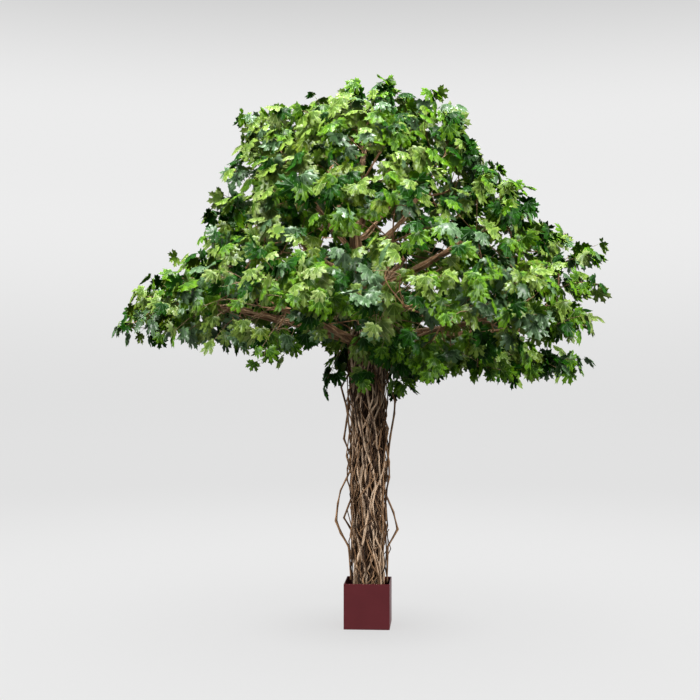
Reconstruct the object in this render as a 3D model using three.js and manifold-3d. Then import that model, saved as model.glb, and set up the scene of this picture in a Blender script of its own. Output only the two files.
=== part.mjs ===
// Artificial maple tree: masses of leaves on bare boughs, over a trunk of bundled lianas that is cast into a square pot.
// Units are millimetres, +Z is up, and the origin is the middle of the pot's underside.
// Azimuths are in degrees about +Z, from +X towards +Y.
import * as THREE from "three";
import { mergeVertices } from "three/addons/utils/BufferGeometryUtils.js";
import Module from "manifold-3d";

// ---- driving dimensions ----
const GAP = 0.4; // clearance between one piece and the next
const POT = { side: 246, height: 243, wall: 7, floor: 10, corner: 5 };
const FILLING = { top: 196 };
const TRUNK = { foot: 40, fork: 1600, footRadius: 100, waistRadius: 96, headRadius: 108, lean: 6 };
const STRANDS = { count: 10, depth: 0.055, turns: 0.22 }; // the ridges that the outer lianas make round the bundle
const LEADER = { tipHeight: 2560, baseRadius: 44, tipRadius: 14, sway: 55 };
const LIMB = { sides: 5, steps: 5, intoMass: 75 };
const LIANA = { radius: 6.5, sides: 5, steps: 9 };
const MASS_DETAIL = 2; // times that each mass's icosahedron is divided
const UNEVENNESS = 0.16; // share of its reach by which a mass swells and dips

// Rings of leaf masses. Radius and height place a mass's middle, and its reach is measured from there.
// A ring's tilt is its rise per millimetre towards -X, its sag is how much more its masses hang down per millimetre
// towards +X, and its shift moves it towards +X. A ring's boughs leave the trunk or the leader at the start height,
// plus a rise that is dealt out in steps round the ring, so that neighbours keep clear of each other.
const TIERS = [
  {
    name: "skirt", count: 9, firstAzimuth: 4, radius: 985, height: 1710, tilt: 0.075, sag: 0.05, shift: 20,
    reach: { out: 298, inward: 180, along: 420, up: 250, down: 292 },
    bough: { startHeight: 1520, rise: 0, step: 0, baseRadius: 21, tipRadius: 11, arch: 15 },
  },
  {
    name: "shoulder", count: 7, firstAzimuth: 24, radius: 700, height: 2095, tilt: 0, sag: 0, shift: 55,
    reach: { out: 270, inward: 190, along: 400, up: 270, down: 250 },
    bough: { startHeight: 1640, rise: 40, step: 3, baseRadius: 23, tipRadius: 13, arch: -10 },
  },
  {
    name: "upper", count: 5, firstAzimuth: 350, radius: 430, height: 2460, tilt: 0.07, sag: 0, shift: -40,
    reach: { out: 310, inward: 200, along: 380, up: 265, down: 280 },
    bough: { startHeight: 1960, rise: 60, step: 2, baseRadius: 17, tipRadius: 9, arch: -30 },
  },
  {
    name: "cap", count: 1, firstAzimuth: 180, radius: 30, height: 2655, tilt: 0, sag: 0, shift: 0,
    reach: { out: 460, inward: 460, along: 460, up: 275, down: 180 },
  },
  {
    name: "inner", count: 3, firstAzimuth: 75, radius: 400, height: 1585, tilt: 0.12, sag: 0, shift: 10,
    reach: { out: 300, inward: 260, along: 420, up: 150, down: 230 },
  },
];

// Masses that stand out past the rings.
const OUTLIERS = [
  {
    name: "left_arm", azimuth: 181, radius: 1205, height: 1615,
    reach: { out: 200, inward: 200, along: 230, up: 175, down: 150 },
  },
  {
    name: "right_tip", azimuth: 2, radius: 1070, height: 1970,
    reach: { out: 210, inward: 280, along: 230, up: 150, down: 160 },
  },
];

// Lianas that leave the bundle and come back to it.
const LOOSE_LIANAS = [
  { azimuth: 178, low: 1160, high: 1330, standoff: 46, drift: -10 },
  { azimuth: 184, low: 925, high: 1045, standoff: 36, drift: 8 },
  { azimuth: 180, low: 420, high: 830, standoff: 68, drift: -16 },
  { azimuth: 204, low: 535, high: 665, standoff: 42, drift: 12 },
  { azimuth: 2, low: 950, high: 1330, standoff: 34, drift: 18 },
  { azimuth: -8, low: 735, high: 905, standoff: 30, drift: -8 },
  { azimuth: 4, low: 405, high: 715, standoff: 44, drift: 14 },
  { azimuth: 92, low: 560, high: 900, standoff: 36, drift: -12 },
];

// ---- materials ----
const finishes = {
  pot: new THREE.MeshStandardMaterial({ color: 0x5c2529, roughness: 0.42, metalness: 0 }),
  filling: new THREE.MeshStandardMaterial({ color: 0x2c2622, roughness: 0.95, metalness: 0 }),
  liana: new THREE.MeshStandardMaterial({ color: 0x6b5240, roughness: 0.9, metalness: 0 }),
  bough: new THREE.MeshStandardMaterial({ color: 0x6e4a36, roughness: 0.85, metalness: 0 }),
  leaves: new THREE.MeshStandardMaterial({ color: 0x47732b, roughness: 0.6, metalness: 0 }),
};

// ---- solids ----
const wasm = await Module();
wasm.setup();

// A closed three.js geometry as a solid that can be joined and cut.
function solidOf(geometry) {
  const bare = geometry.clone();
  bare.deleteAttribute("normal");
  bare.deleteAttribute("uv");
  const merged = mergeVertices(bare, 1e-3);
  return new wasm.Manifold(
    new wasm.Mesh({
      numProp: 3,
      vertProperties: merged.attributes.position.array,
      triVerts: new Uint32Array(merged.index.array),
    }),
  );
}

function geometryOf(solid) {
  const mesh = solid.getMesh();
  const geometry = new THREE.BufferGeometry();
  geometry.setAttribute("position", new THREE.BufferAttribute(new Float32Array(mesh.vertProperties), 3));
  geometry.setIndex(new THREE.BufferAttribute(new Uint32Array(mesh.triVerts), 1));
  return geometry.toNonIndexed();
}

function meshOf(name, solid, material) {
  const geometry = geometryOf(solid);
  geometry.computeVertexNormals();
  const mesh = new THREE.Mesh(geometry, material);
  mesh.name = name;
  return mesh;
}

// ---- helpers ----
const radians = THREE.MathUtils.degToRad;

function outwardAt(azimuth) {
  return new THREE.Vector3(Math.cos(radians(azimuth)), Math.sin(radians(azimuth)), 0);
}

// A point at an azimuth, a radius from the tree's axis and a height.
function pointAt(azimuth, radius, height) {
  return outwardAt(azimuth).multiplyScalar(radius).setZ(height);
}

// A smooth value from -1 to 1 that differs with the seed.
function wave(x, seed) {
  return 0.6 * Math.sin(x + 2.4 * seed) + 0.4 * Math.sin(2.3 * x + 4.1 * seed);
}

// A cylinder bent along a curve: closed, with flat ends, and tapering from one radius to the other.
function taperedTube(curve, baseRadius, tipRadius, sides, steps, grow = 0) {
  const geometry = new THREE.CylinderGeometry(tipRadius + grow, baseRadius + grow, 1, sides, steps);
  const frames = curve.computeFrenetFrames(steps, false);
  const position = geometry.attributes.position;
  const corner = new THREE.Vector3();
  for (let i = 0; i < position.count; i++) {
    const step = Math.round((position.getY(i) + 0.5) * steps);
    corner
      .copy(curve.getPointAt(step / steps))
      .addScaledVector(frames.tangents[step], step === 0 ? -grow : step === steps ? grow : 0)
      .addScaledVector(frames.normals[step], position.getZ(i))
      .addScaledVector(frames.binormals[step], position.getX(i));
    position.setXYZ(i, corner.x, corner.y, corner.z);
  }
  return geometry;
}

// ---- pot ----
function roundedSquare(side, corner) {
  const half = side / 2;
  const inner = half - corner;
  const shape = new THREE.Shape();
  for (const turn of [0, 90, 180, 270]) {
    const centre = new THREE.Vector2(inner, inner).rotateAround(new THREE.Vector2(), radians(turn));
    shape.absarc(centre.x, centre.y, corner, radians(turn), radians(turn + 90), false);
  }
  return shape;
}

function squareBlock(side, corner, from, to) {
  const geometry = new THREE.ExtrudeGeometry(roundedSquare(side, corner), {
    depth: to - from, bevelEnabled: false, curveSegments: 2,
  });
  return solidOf(geometry.translate(0, 0, from));
}

function potSolid() {
  const hollow = squareBlock(POT.side - 2 * POT.wall, POT.corner / 2, POT.floor, POT.height + 1);
  return squareBlock(POT.side, POT.corner, 0, POT.height).subtract(hollow);
}

function fillingSolid(trunkRoom) {
  const side = POT.side - 2 * POT.wall - 2 * GAP;
  return squareBlock(side, POT.corner / 2, POT.floor + GAP, FILLING.top).subtract(trunkRoom);
}

// ---- trunk ----
function trunkRadius(height) {
  const share = (height - TRUNK.foot) / (TRUNK.fork - TRUNK.foot);
  const toWaist = Math.min(share / 0.35, 1);
  const toHead = Math.max((share - 0.55) / 0.45, 0);
  const waist = THREE.MathUtils.lerp(TRUNK.footRadius, TRUNK.waistRadius, THREE.MathUtils.smoothstep(toWaist, 0, 1));
  return THREE.MathUtils.lerp(waist, TRUNK.headRadius, THREE.MathUtils.smoothstep(toHead, 0, 1));
}

// The bundle leans a little to the right at its foot.
function trunkCentre(height) {
  return TRUNK.lean * (1 - height / TRUNK.fork);
}

function trunkSolid(grow = 0) {
  const length = TRUNK.fork - TRUNK.foot;
  const geometry = new THREE.CylinderGeometry(1, 1, length, 2 * STRANDS.count, 9);
  const position = geometry.attributes.position;
  for (let i = 0; i < position.count; i++) {
    const share = position.getY(i) / length + 0.5;
    const onAxis = Math.hypot(position.getX(i), position.getZ(i)) < 0.5;
    const angle = Math.atan2(position.getX(i), position.getZ(i));
    const height = TRUNK.foot + share * length;
    const ridge = STRANDS.depth * Math.cos(STRANDS.count * angle);
    const radius = onAxis ? 0 : trunkRadius(height) * (1 + ridge) + grow;
    const turned = angle + 2 * Math.PI * STRANDS.turns * share;
    const end = share < 1e-6 ? -grow : share > 1 - 1e-6 ? grow : 0;
    position.setXYZ(
      i,
      trunkCentre(height) + radius * Math.cos(turned),
      radius * Math.sin(turned),
      height + end,
    );
  }
  return solidOf(geometry);
}

// ---- loose lianas ----
function lianaSolid(liana, seed, grow = 0) {
  const points = [];
  for (let i = 0; i <= LIANA.steps; i++) {
    const t = i / LIANA.steps;
    const height = THREE.MathUtils.lerp(liana.low, liana.high, t);
    const away = Math.pow(Math.sin(Math.PI * t), 0.7) * (1 + 0.12 * wave(5 * t, seed));
    const radius = trunkRadius(height) - LIANA.radius + away * liana.standoff;
    points.push(pointAt(liana.azimuth + liana.drift * (t - 0.5), radius, height));
    points[i].x += trunkCentre(height);
  }
  const curve = new THREE.CatmullRomCurve3(points);
  return solidOf(taperedTube(curve, LIANA.radius, LIANA.radius, LIANA.sides, LIANA.steps, grow));
}

// ---- leaf masses ----
// Every mass with its middle, its outward direction, its reach and the bough that carries it.
function listMasses() {
  const masses = [];
  for (const tier of TIERS) {
    for (let i = 0; i < tier.count; i++) {
      const azimuth = tier.firstAzimuth + (360 / tier.count) * i;
      const number = tier.count > 1 ? "_" + (i + 1) : "";
      const seed = masses.length + 1;
      const middle = pointAt(azimuth, tier.radius + 35 * wave(seed, 1), tier.height + 40 * wave(seed, 2));
      const down = tier.reach.down + tier.sag * middle.x;
      middle.z -= tier.tilt * middle.x;
      middle.x += tier.shift;
      masses.push({
        seed,
        name: tier.name + "_leaves" + number,
        boughName: tier.name + "_bough" + number,
        azimuth,
        middle,
        reach: { ...tier.reach, down },
        bough: tier.bough,
        startHeight: tier.bough && tier.bough.startHeight + tier.bough.rise * ((tier.bough.step * i) % tier.count),
      });
    }
  }
  for (const { name, azimuth, radius, height, reach } of OUTLIERS) {
    const seed = masses.length + 1;
    masses.push({ seed, name: name + "_leaves", azimuth, middle: pointAt(azimuth, radius, height), reach });
  }
  return masses;
}

// How far a mass goes from its middle in a direction: an uneven ellipsoid, which stops at a plane between it and
// each neighbour, nearer to the smaller of the two.
function reachOf(mass, direction, masses) {
  const outward = direction.dot(outwardAt(mass.azimuth));
  const along = direction.dot(outwardAt(mass.azimuth + 90));
  const { reach, seed } = mass;
  const inverse = Math.hypot(
    outward / (outward > 0 ? reach.out : reach.inward),
    along / reach.along,
    direction.z / (direction.z > 0 ? reach.up : reach.down),
  );
  const sideways = wave(4.1 * direction.x + 2.2 * direction.y, seed);
  const upward = wave(3.9 * direction.z - 3.1 * direction.y, seed + 3);
  const swell = 0.5 * (sideways + upward);
  let far = (1 + UNEVENNESS * swell) / inverse;
  for (const other of masses) {
    if (other === mass) continue;
    const towards = other.middle.clone().sub(mass.middle);
    const distance = towards.length();
    const facing = direction.dot(towards) / distance;
    const advantage = (mass.reach.along ** 2 - other.reach.along ** 2) / (2 * distance ** 2);
    const share = 0.5 + THREE.MathUtils.clamp(advantage, -0.2, 0.2);
    if (facing > 0) far = Math.min(far, (distance * share - GAP) / facing);
  }
  return far;
}

const unitMass = (() => {
  const geometry = new THREE.IcosahedronGeometry(1, MASS_DETAIL);
  geometry.deleteAttribute("normal");
  geometry.deleteAttribute("uv");
  return mergeVertices(geometry, 1e-3);
})();

function massSolid(mass, masses) {
  const geometry = unitMass.clone();
  const position = geometry.attributes.position;
  const direction = new THREE.Vector3();
  for (let i = 0; i < position.count; i++) {
    direction.fromBufferAttribute(position, i).normalize();
    const corner = direction.clone().multiplyScalar(reachOf(mass, direction, masses)).add(mass.middle);
    position.setXYZ(i, corner.x, corner.y, corner.z);
  }
  return solidOf(geometry);
}

// ---- boughs ----
// The leader stands on the trunk's head, which cuts its foot flat, and sways up through the middle of the crown.
const leaderCurve = (() => {
  const points = [];
  for (let i = 0; i <= 6; i++) {
    const t = i / 6;
    const height = THREE.MathUtils.lerp(TRUNK.fork - 20, LEADER.tipHeight, t);
    points.push(new THREE.Vector3(-LEADER.sway * Math.sin(Math.PI * t) - 20 * t, 0.6 * LEADER.sway * Math.sin(2 * Math.PI * t), height));
  }
  return new THREE.CatmullRomCurve3(points);
})();

function leaderSolid(grow = 0) {
  return solidOf(taperedTube(leaderCurve, LEADER.baseRadius, LEADER.tipRadius, 6, 8, grow));
}

// A bough starts inside the trunk or the leader, which then cuts it, and ends a little way into its mass.
function boughCurve(mass, masses) {
  const { startHeight } = mass;
  const onLeader = startHeight > TRUNK.fork;
  const t = (startHeight - TRUNK.fork) / (LEADER.tipHeight - TRUNK.fork);
  const start = onLeader ? leaderCurve.getPointAt(t) : pointAt(mass.azimuth, 55, startHeight);
  const back = start.clone().sub(mass.middle).normalize();
  const end = mass.middle.clone().addScaledVector(back, reachOf(mass, back, masses) - LIMB.intoMass);
  const side = outwardAt(mass.azimuth + 90);
  const points = [0, 0.25, 0.5, 0.75, 1].map((share) => {
    const swing = 34 * wave(4 * share, mass.seed) * Math.sin(Math.PI * share);
    return start.clone().lerp(end, share)
      .addScaledVector(side, swing)
      .add(new THREE.Vector3(0, 0, mass.bough.arch * Math.sin(Math.PI * share)));
  });
  return new THREE.CatmullRomCurve3(points);
}

function boughSolid(mass, masses, grow = 0) {
  const { baseRadius, tipRadius } = mass.bough;
  return solidOf(taperedTube(boughCurve(mass, masses), baseRadius, tipRadius, LIMB.sides, LIMB.steps, grow));
}

// ---- assembly ----
const tree = new THREE.Group();
const masses = listMasses();
const trunkRoom = trunkSolid(GAP);
const leaderRoom = leaderSolid(GAP);
const rooms = [trunkRoom, leaderRoom];

tree.add(meshOf("pot", potSolid(), finishes.pot));
tree.add(meshOf("pot_filling", fillingSolid(trunkRoom), finishes.filling));
tree.add(meshOf("trunk", trunkSolid(), finishes.liana));
tree.add(meshOf("leader", leaderSolid().subtract(trunkRoom), finishes.bough));

LOOSE_LIANAS.forEach((liana, i) => {
  tree.add(meshOf("liana_" + (i + 1), lianaSolid(liana, i + 1).subtract(trunkRoom), finishes.liana));
  rooms.push(lianaSolid(liana, i + 1, GAP));
});

for (const mass of masses.filter(({ bough }) => bough)) {
  const carrier = mass.startHeight > TRUNK.fork ? leaderRoom : trunkRoom;
  const solid = rooms.reduce((cut, room) => cut.subtract(room), boughSolid(mass, masses).subtract(carrier));
  tree.add(meshOf(mass.boughName, solid, finishes.bough));
  rooms.push(boughSolid(mass, masses, GAP));
}

for (const mass of masses) {
  const solid = rooms.reduce((cut, room) => cut.subtract(room), massSolid(mass, masses));
  tree.add(meshOf(mass.name, solid, finishes.leaves));
}

export default tree;
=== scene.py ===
"""Artificial maple tree: lianas in a pot, barked boughs, and a crown of branches, twigs and leaves."""

import math

import bmesh
import bpy
import numpy as np
from bpy.props import FloatProperty, FloatVectorProperty, IntProperty, PointerProperty
from bpy.types import Operator, Panel, PropertyGroup
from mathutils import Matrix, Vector, noise
from mathutils.bvhtree import BVHTree


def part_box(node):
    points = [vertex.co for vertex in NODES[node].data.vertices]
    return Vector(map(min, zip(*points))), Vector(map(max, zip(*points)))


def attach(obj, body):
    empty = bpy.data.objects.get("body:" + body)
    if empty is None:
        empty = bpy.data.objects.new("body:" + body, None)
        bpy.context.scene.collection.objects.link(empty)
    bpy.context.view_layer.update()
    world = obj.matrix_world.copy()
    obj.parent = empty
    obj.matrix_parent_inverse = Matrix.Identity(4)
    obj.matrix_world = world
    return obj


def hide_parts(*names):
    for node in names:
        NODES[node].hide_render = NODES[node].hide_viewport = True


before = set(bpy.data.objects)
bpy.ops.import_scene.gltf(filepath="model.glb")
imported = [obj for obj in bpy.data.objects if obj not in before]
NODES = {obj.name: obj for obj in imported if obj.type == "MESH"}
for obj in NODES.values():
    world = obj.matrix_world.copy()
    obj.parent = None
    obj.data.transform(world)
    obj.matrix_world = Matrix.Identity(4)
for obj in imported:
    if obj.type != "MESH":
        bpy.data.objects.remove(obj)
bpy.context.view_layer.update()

bl_info = {
    "name": "Artificial Maple Tree",
    "version": (1, 0, 0),
    "blender": (4, 5, 0),
    "location": "3D View > Sidebar > Maple Tree",
    "description": "Grows the bark, twigs and leaves of an artificial maple tree on its packed frame",
    "category": "Object",
}

LEAF_MASSES = sorted(name for name in NODES if "_leaves" in name)
BOUGHS = sorted(name for name in NODES if "_bough" in name)
LOOSE_LIANAS = sorted(name for name in NODES if name.startswith("liana_"))
UP = np.array((0.0, 0.0, 1.0))
TURN = 2 * np.pi
# From where to where an angle picked at random may lie.
ANY_ANGLE = 0, 6.28


# ---------------------------------------------------------------- settings


def a_colour(name, description, default):
    settings = {"subtype": "COLOR", "size": 3, "min": 0.0, "max": 1.0}
    return FloatVectorProperty(name=name, description=description, default=default, **settings)


def a_length(name, description, default):
    settings = {"min": 0.0, "unit": "LENGTH", "precision": 4}
    return FloatProperty(name=name, description=description, default=default, **settings)


def a_count(name, description, default):
    return IntProperty(name=name, description=description, default=default, min=1)


def a_number(name, description, default):
    return FloatProperty(name=name, description=description, default=default, min=0.0)


def an_angle(name, description, degrees):
    return FloatProperty(name=name, description=description, default=math.radians(degrees), unit="ROTATION")


class PotSettings(PropertyGroup):
    wall: a_length("Wall", "Thickness of the pot's walls", 0.007)
    floor: a_length("Floor", "Thickness of the pot's bottom", 0.010)
    rounding: a_length("Rounding", "Radius of the pot's edges", 0.0022)
    lacquer: a_colour("Lacquer", "Dark red lacquer", (0.071, 0.0096, 0.0124))
    casting: a_colour("Casting", "Rough filling that holds the lianas", (0.030, 0.022, 0.016))


class LianaSettings(PropertyGroup):
    fine: a_count("Fine lianas", "Thin lianas round the outside of the bundle", 80)
    inner: a_count("Inner lianas", "Dark lianas inside the bundle", 30)
    stout: a_count("Stout lianas", "Thick tan lianas that wind over the others", 18)
    stray: a_count("Stray lianas", "Lianas that bow out of the bundle and back", 22)
    ends: a_count("Cut ends", "Short ends that stand off where side shoots were cut", 30)
    thin: a_length("Thinnest", "Radius of the thinnest liana", 0.0022)
    thick: a_length("Thickest", "Radius of the thickest liana", 0.0068)
    kink: a_length("Kink", "How far a liana jumps aside at a knot", 0.006)
    tan: a_colour("Tan bark", "Light bark on the stout lianas", (0.570, 0.430, 0.305))
    brown: a_colour("Brown bark", "Bark between the light and dark ones", (0.270, 0.155, 0.078))
    # The dark bark is partly the lianas' own and partly painted shade: it stands for the shade deep in the
    # bundle and on some loose lianas at the sides.
    dark: a_colour("Dark bark", "Bark deep in the bundle and on some loose lianas", (0.050, 0.021, 0.007))


class BoughSettings(PropertyGroup):
    ridge: a_length("Ridge", "Height of the bark's ridges on a thick bough", 0.0024)
    wound: a_count("Wound lianas", "Thin lianas that wind along each bough", 5)
    bark: a_colour("Bark", "Red-brown bark of the boughs", (0.290, 0.152, 0.070))
    strand: a_colour("Bough lianas", "Lighter bark of the lianas on the boughs", (0.360, 0.222, 0.118))
    twig: a_colour("Twig", "Brown of the twigs that carry the leaves", (0.212, 0.128, 0.062))
    stalk: a_colour("Stalk", "Green of the leaf stalks", (0.150, 0.210, 0.060))


class CrownSettings(PropertyGroup):
    seed: a_count("Seed", "Changes where every branch and leaf grows", 17)
    spacing: a_length("Spray spacing", "Distance between neighbouring sprays on the crown's face", 0.141)
    hanging: a_count("Hanging sprays", "Sprays that hang from the head of the trunk", 7)
    reach: a_length("Spray length", "Length of the twig that carries one spray", 0.205)
    leaf: a_length("Leaf length", "From the end of the stalk to the tip of the middle lobe", 0.080)
    stalk: a_length("Stalk length", "Length of a leaf's stalk", 0.042)
    gloss: a_number("Leaf roughness", "Roughness of the leaves' faces", 0.40)


class StageSettings(PropertyGroup):
    azimuth: an_angle("Azimuth", "Camera's place round the tree", 3.5)
    distance: a_length("Distance", "From the trunk to the camera", 7.01)
    height: a_length("Height", "Height of the camera", 1.49)
    view: an_angle("Field of view", "Width of the view", 30.27)
    paper: a_colour("Paper", "Pale paper of the floor and wall", (0.21, 0.21, 0.21))
    # The paper's glow is painted light: the paper shines by itself, and no light comes from behind it.
    painted_glow: a_number("Glow", "Light that comes through the paper from behind", 0.64)
    zenith: a_number("Light from above", "Strength of the soft light from above", 1.08)
    nadir: a_number("Light from below", "Strength of the soft light from below", 0.13)


# Every tint is the colour of the lobes, then of the middle, then its sheen, then how often a spray on the
# crown's face takes it.
TINTS = {
    "deep": ((0.009, 0.051, 0.001), (0.004, 0.026, 0.001), 0.06, 0.20),
    "mid": ((0.067, 0.157, 0.001), (0.026, 0.081, 0.001), 0.16, 0.31),
    "fresh": ((0.116, 0.187, 0.020), (0.053, 0.107, 0.006), 0.26, 0.24),
    "lime": ((0.144, 0.204, 0.042), (0.077, 0.134, 0.016), 0.28, 0.06),
    # This tint is partly the leaves' own grey-green and partly painted sheen, the pale light that glossy
    # leaves reflect.
    "grey_and_sheen": ((0.060, 0.124, 0.043), (0.027, 0.070, 0.019), 0.42, 0.15),
    "olive": ((0.080, 0.124, 0.004), (0.038, 0.072, 0.001), 0.20, 0.04),
}


# ---------------------------------------------------------------- helpers


def unit(v):
    """Vectors made one long, along the last axis."""
    return v / np.maximum(np.linalg.norm(v, axis=-1, keepdims=True), 1e-9)


def run_along(points):
    """How far each point lies along a line through the points."""
    return np.concatenate([[0], np.cumsum(np.linalg.norm(np.diff(points, axis=0), axis=1))])


def rows_of(items, key, kind=np.float32):
    """A mesh's vectors, or the three corners of its triangles, as rows."""
    flat = np.empty(3 * len(items), dtype=kind)
    items.foreach_get(key, flat)
    return flat.reshape(-1, 3)


def corners(name):
    """The corners of a CAD node, once each."""
    return np.unique(rows_of(NODES[name].data.vertices, "co").astype(float).round(5), axis=0)


def middle_line(name, steps):
    """The middle line and radii of a tapering limb, as smooth curves from the end nearer to the trunk."""
    points = corners(name)
    along = np.linalg.svd(points - points.mean(0), full_matrices=False)[2][0]
    t = points @ along
    t = (t - t.min()) / np.ptp(t)
    low, high = points[t < 0.1].mean(0), points[t > 0.9].mean(0)
    if np.hypot(*low[:2]) + 0.5 * low[2] > np.hypot(*high[:2]) + 0.5 * high[2]:
        t = 1 - t
    fits = [np.polyfit(t, points[:, axis], 3) for axis in range(3)]
    away = np.linalg.norm(points - np.stack([np.polyval(f, t) for f in fits], axis=1), axis=1)
    taper = np.polyfit(t, away, 1)
    at = np.linspace(0, 1, steps)
    return np.stack([np.polyval(f, at) for f in fits], axis=1), np.polyval(taper, at)


def resample(points, radii, step):
    """A line through the points on a smooth curve, at about equal steps, with its radii."""
    run = run_along(points)
    at = np.linspace(0, run[-1], max(3, int(round(run[-1] / step)) + 1))
    if len(points) > 2:
        slope = np.gradient(points, run, axis=0)
    else:
        slope = np.repeat(np.diff(points, axis=0) / run[-1], 2, axis=0)
    k = np.clip(np.searchsorted(run, at, side="right") - 1, 0, len(run) - 2)
    h = (run[k + 1] - run[k])[:, None]
    u = ((at - run[k]) / h[:, 0])[:, None]
    line = (
        (2 * u**3 - 3 * u**2 + 1) * points[k]
        + (u**3 - 2 * u**2 + u) * h * slope[k]
        + (3 * u**2 - 2 * u**3) * points[k + 1]
        + (u**3 - u**2) * h * slope[k + 1]
    )
    return line, np.interp(at, run, radii)


def tubes(name, limbs, sides):
    """One mesh of closed tubes along (points, radii) pairs, with each corner's place on its straight limb."""
    curve = bpy.data.curves.new(name, "CURVE")
    curve.dimensions = "3D"
    curve.bevel_depth = 1.0
    curve.bevel_resolution = sides // 2 - 2
    for points, radii in limbs:
        spline = curve.splines.new("POLY")
        spline.points.add(len(points) - 1)
        spline.points.foreach_set("co", np.column_stack([points, np.ones(len(points))]).ravel())
        spline.points.foreach_set("radius", radii)
    holder = bpy.data.objects.new(name, curve)
    mesh = bpy.data.meshes.new_from_object(holder)
    bpy.data.objects.remove(holder)
    bpy.data.curves.remove(curve)
    mesh.name = name
    if len(mesh.vertices) != sides * sum(len(points) for points, _ in limbs):
        raise RuntimeError(f"{name}: the sweep gave {len(mesh.vertices)} corners")
    # The limbs stand far apart along the straightened axis, so that their bark differs.
    apart, straight = 3.7, []
    turn = TURN * np.arange(sides) / sides
    for number, (points, radii) in enumerate(limbs):
        ring = np.stack([np.cos(turn), np.sin(turn)], axis=1)[None] * radii[:, None, None]
        rise = np.broadcast_to((run_along(points) + apart * number)[:, None, None], ring.shape[:2] + (1,))
        straight.append(np.concatenate([ring, rise], axis=2).reshape(-1, 3))
    attribute = mesh.attributes.new("straightened", "FLOAT_VECTOR", "POINT")
    attribute.data.foreach_set("vector", np.concatenate(straight).astype(np.float32).ravel())
    bm = bmesh.new()
    bm.from_mesh(mesh)
    bmesh.ops.holes_fill(bm, edges=[e for e in bm.edges if e.is_boundary], sides=sides)
    bmesh.ops.recalc_face_normals(bm, faces=bm.faces)
    bm.to_mesh(mesh)
    bm.free()
    mesh.shade_smooth()
    return mesh


def mesh_of(bm, name, smooth=True):
    """Ends a bmesh as a mesh."""
    for face in bm.faces:
        face.smooth = smooth
    mesh = bpy.data.meshes.new(name)
    bm.to_mesh(mesh)
    bm.free()
    return mesh


def arrays_of(bm):
    """Ends a bmesh of triangles as arrays of corners, triangles and material numbers."""
    bm.verts.index_update()
    corner = np.array([v.co[:] for v in bm.verts])
    triangle = np.array([[v.index for v in f.verts] for f in bm.faces])
    finish = np.array([f.material_index for f in bm.faces])
    bm.free()
    return corner, triangle, finish


def copies(name, batches):
    """One mesh of small shapes. A batch is a shape, then the frames, sizes and places of its copies."""
    corner, triangle, finish, count = [], [], [], 0
    for (own, faces, numbers), frames, sizes, places in batches:
        placed = np.einsum("vk,lkj->lvj", own, frames) * sizes[:, None, None] + places[:, None]
        first = count + len(own) * np.arange(len(places))
        corner.append(placed.reshape(-1, 3))
        triangle.append((faces[None] + first[:, None, None]).reshape(-1, 3))
        finish.append(np.tile(numbers, len(places)))
        count += len(own) * len(places)
    corner, triangle, finish = (np.concatenate(part) for part in (corner, triangle, finish))
    mesh = bpy.data.meshes.new(name)
    mesh.vertices.add(len(corner))
    mesh.vertices.foreach_set("co", corner.astype(np.float32).ravel())
    mesh.loops.add(3 * len(triangle))
    mesh.loops.foreach_set("vertex_index", triangle.astype(np.int32).ravel())
    mesh.polygons.add(len(triangle))
    mesh.polygons.foreach_set("loop_start", np.arange(0, 3 * len(triangle), 3, dtype=np.int32))
    mesh.polygons.foreach_set("material_index", finish.astype(np.int32))
    mesh.update(calc_edges=True)
    return mesh


def in_scene(name, data):
    made = bpy.data.objects.new(name, data)
    bpy.context.scene.collection.objects.link(made)
    return made


def piece(mesh, finishes, stands_for=()):
    """A finished piece: it rides on the tree's one body, takes a slot's finish and stands for CAD nodes."""
    made = in_scene(mesh.name, mesh)
    for finish in finishes:
        mesh.materials.append(finish)
    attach(made, "root")
    if stands_for:
        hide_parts(*stands_for)
    return made


# ---------------------------------------------------------------- materials


def fill(tree, node, inputs):
    """Sets a node's inputs. An output is linked, and anything else is the input's value."""
    for name, value in inputs.items():
        if isinstance(value, bpy.types.NodeSocket):
            tree.links.new(value, node.inputs[name])
        elif node.inputs[name].type == "RGBA":
            node.inputs[name].default_value = (*value, 1.0)
        else:
            node.inputs[name].default_value = value


def output(tree, kind, name, inputs, **settings):
    """The named output of a new shader node."""
    node = tree.nodes.new(f"ShaderNode{kind}")
    for key, value in settings.items():
        setattr(node, key, value)
    fill(tree, node, inputs)
    return node.outputs[name]


def clouds(tree, place, scale, detail, roughness=0.5):
    inputs = {"Vector": place, "Scale": scale, "Detail": detail, "Roughness": roughness}
    return output(tree, "TexNoise", "Fac", inputs)


def cells(tree, place, scale):
    return output(tree, "TexVoronoi", "Distance", {"Vector": place, "Scale": scale})


def between(tree, value, low, high, start, end, smooth=False):
    """A value that goes from start to end, as another goes from low to high."""
    inputs = {"Value": value, "From Min": low, "From Max": high, "To Min": start, "To Max": end}
    way = "SMOOTHSTEP" if smooth else "LINEAR"
    return output(tree, "MapRange", "Result", inputs, interpolation_type=way)


def worked(tree, operation, first, second):
    return output(tree, "Math", "Value", {0: first, 1: second}, operation=operation)


def scaled(tree, colour, share):
    return output(tree, "VectorMath", "Vector", {0: colour, "Scale": share}, operation="SCALE")


def blended(tree, share, first, second):
    """One colour turning into another. The numbers are the Mix node's colour sockets."""
    return output(tree, "Mix", 2, {0: share, 6: first, 7: second}, data_type="RGBA")


def bumped(tree, height, strength, distance):
    return output(tree, "Bump", "Normal", {"Height": height, "Strength": strength, "Distance": distance})


def shade(colour, share):
    return tuple(share * c for c in colour)


def surface(made, inputs):
    fill(made.node_tree, made.node_tree.nodes["Principled BSDF"], inputs)
    return made


def material(name, base, roughness, specular=0.5):
    made = bpy.data.materials.new(name)
    made.use_nodes = True
    made.diffuse_color = (*base, 1.0)
    return surface(made, {"Base Color": base, "Roughness": roughness, "Specular IOR Level": specular})


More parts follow.
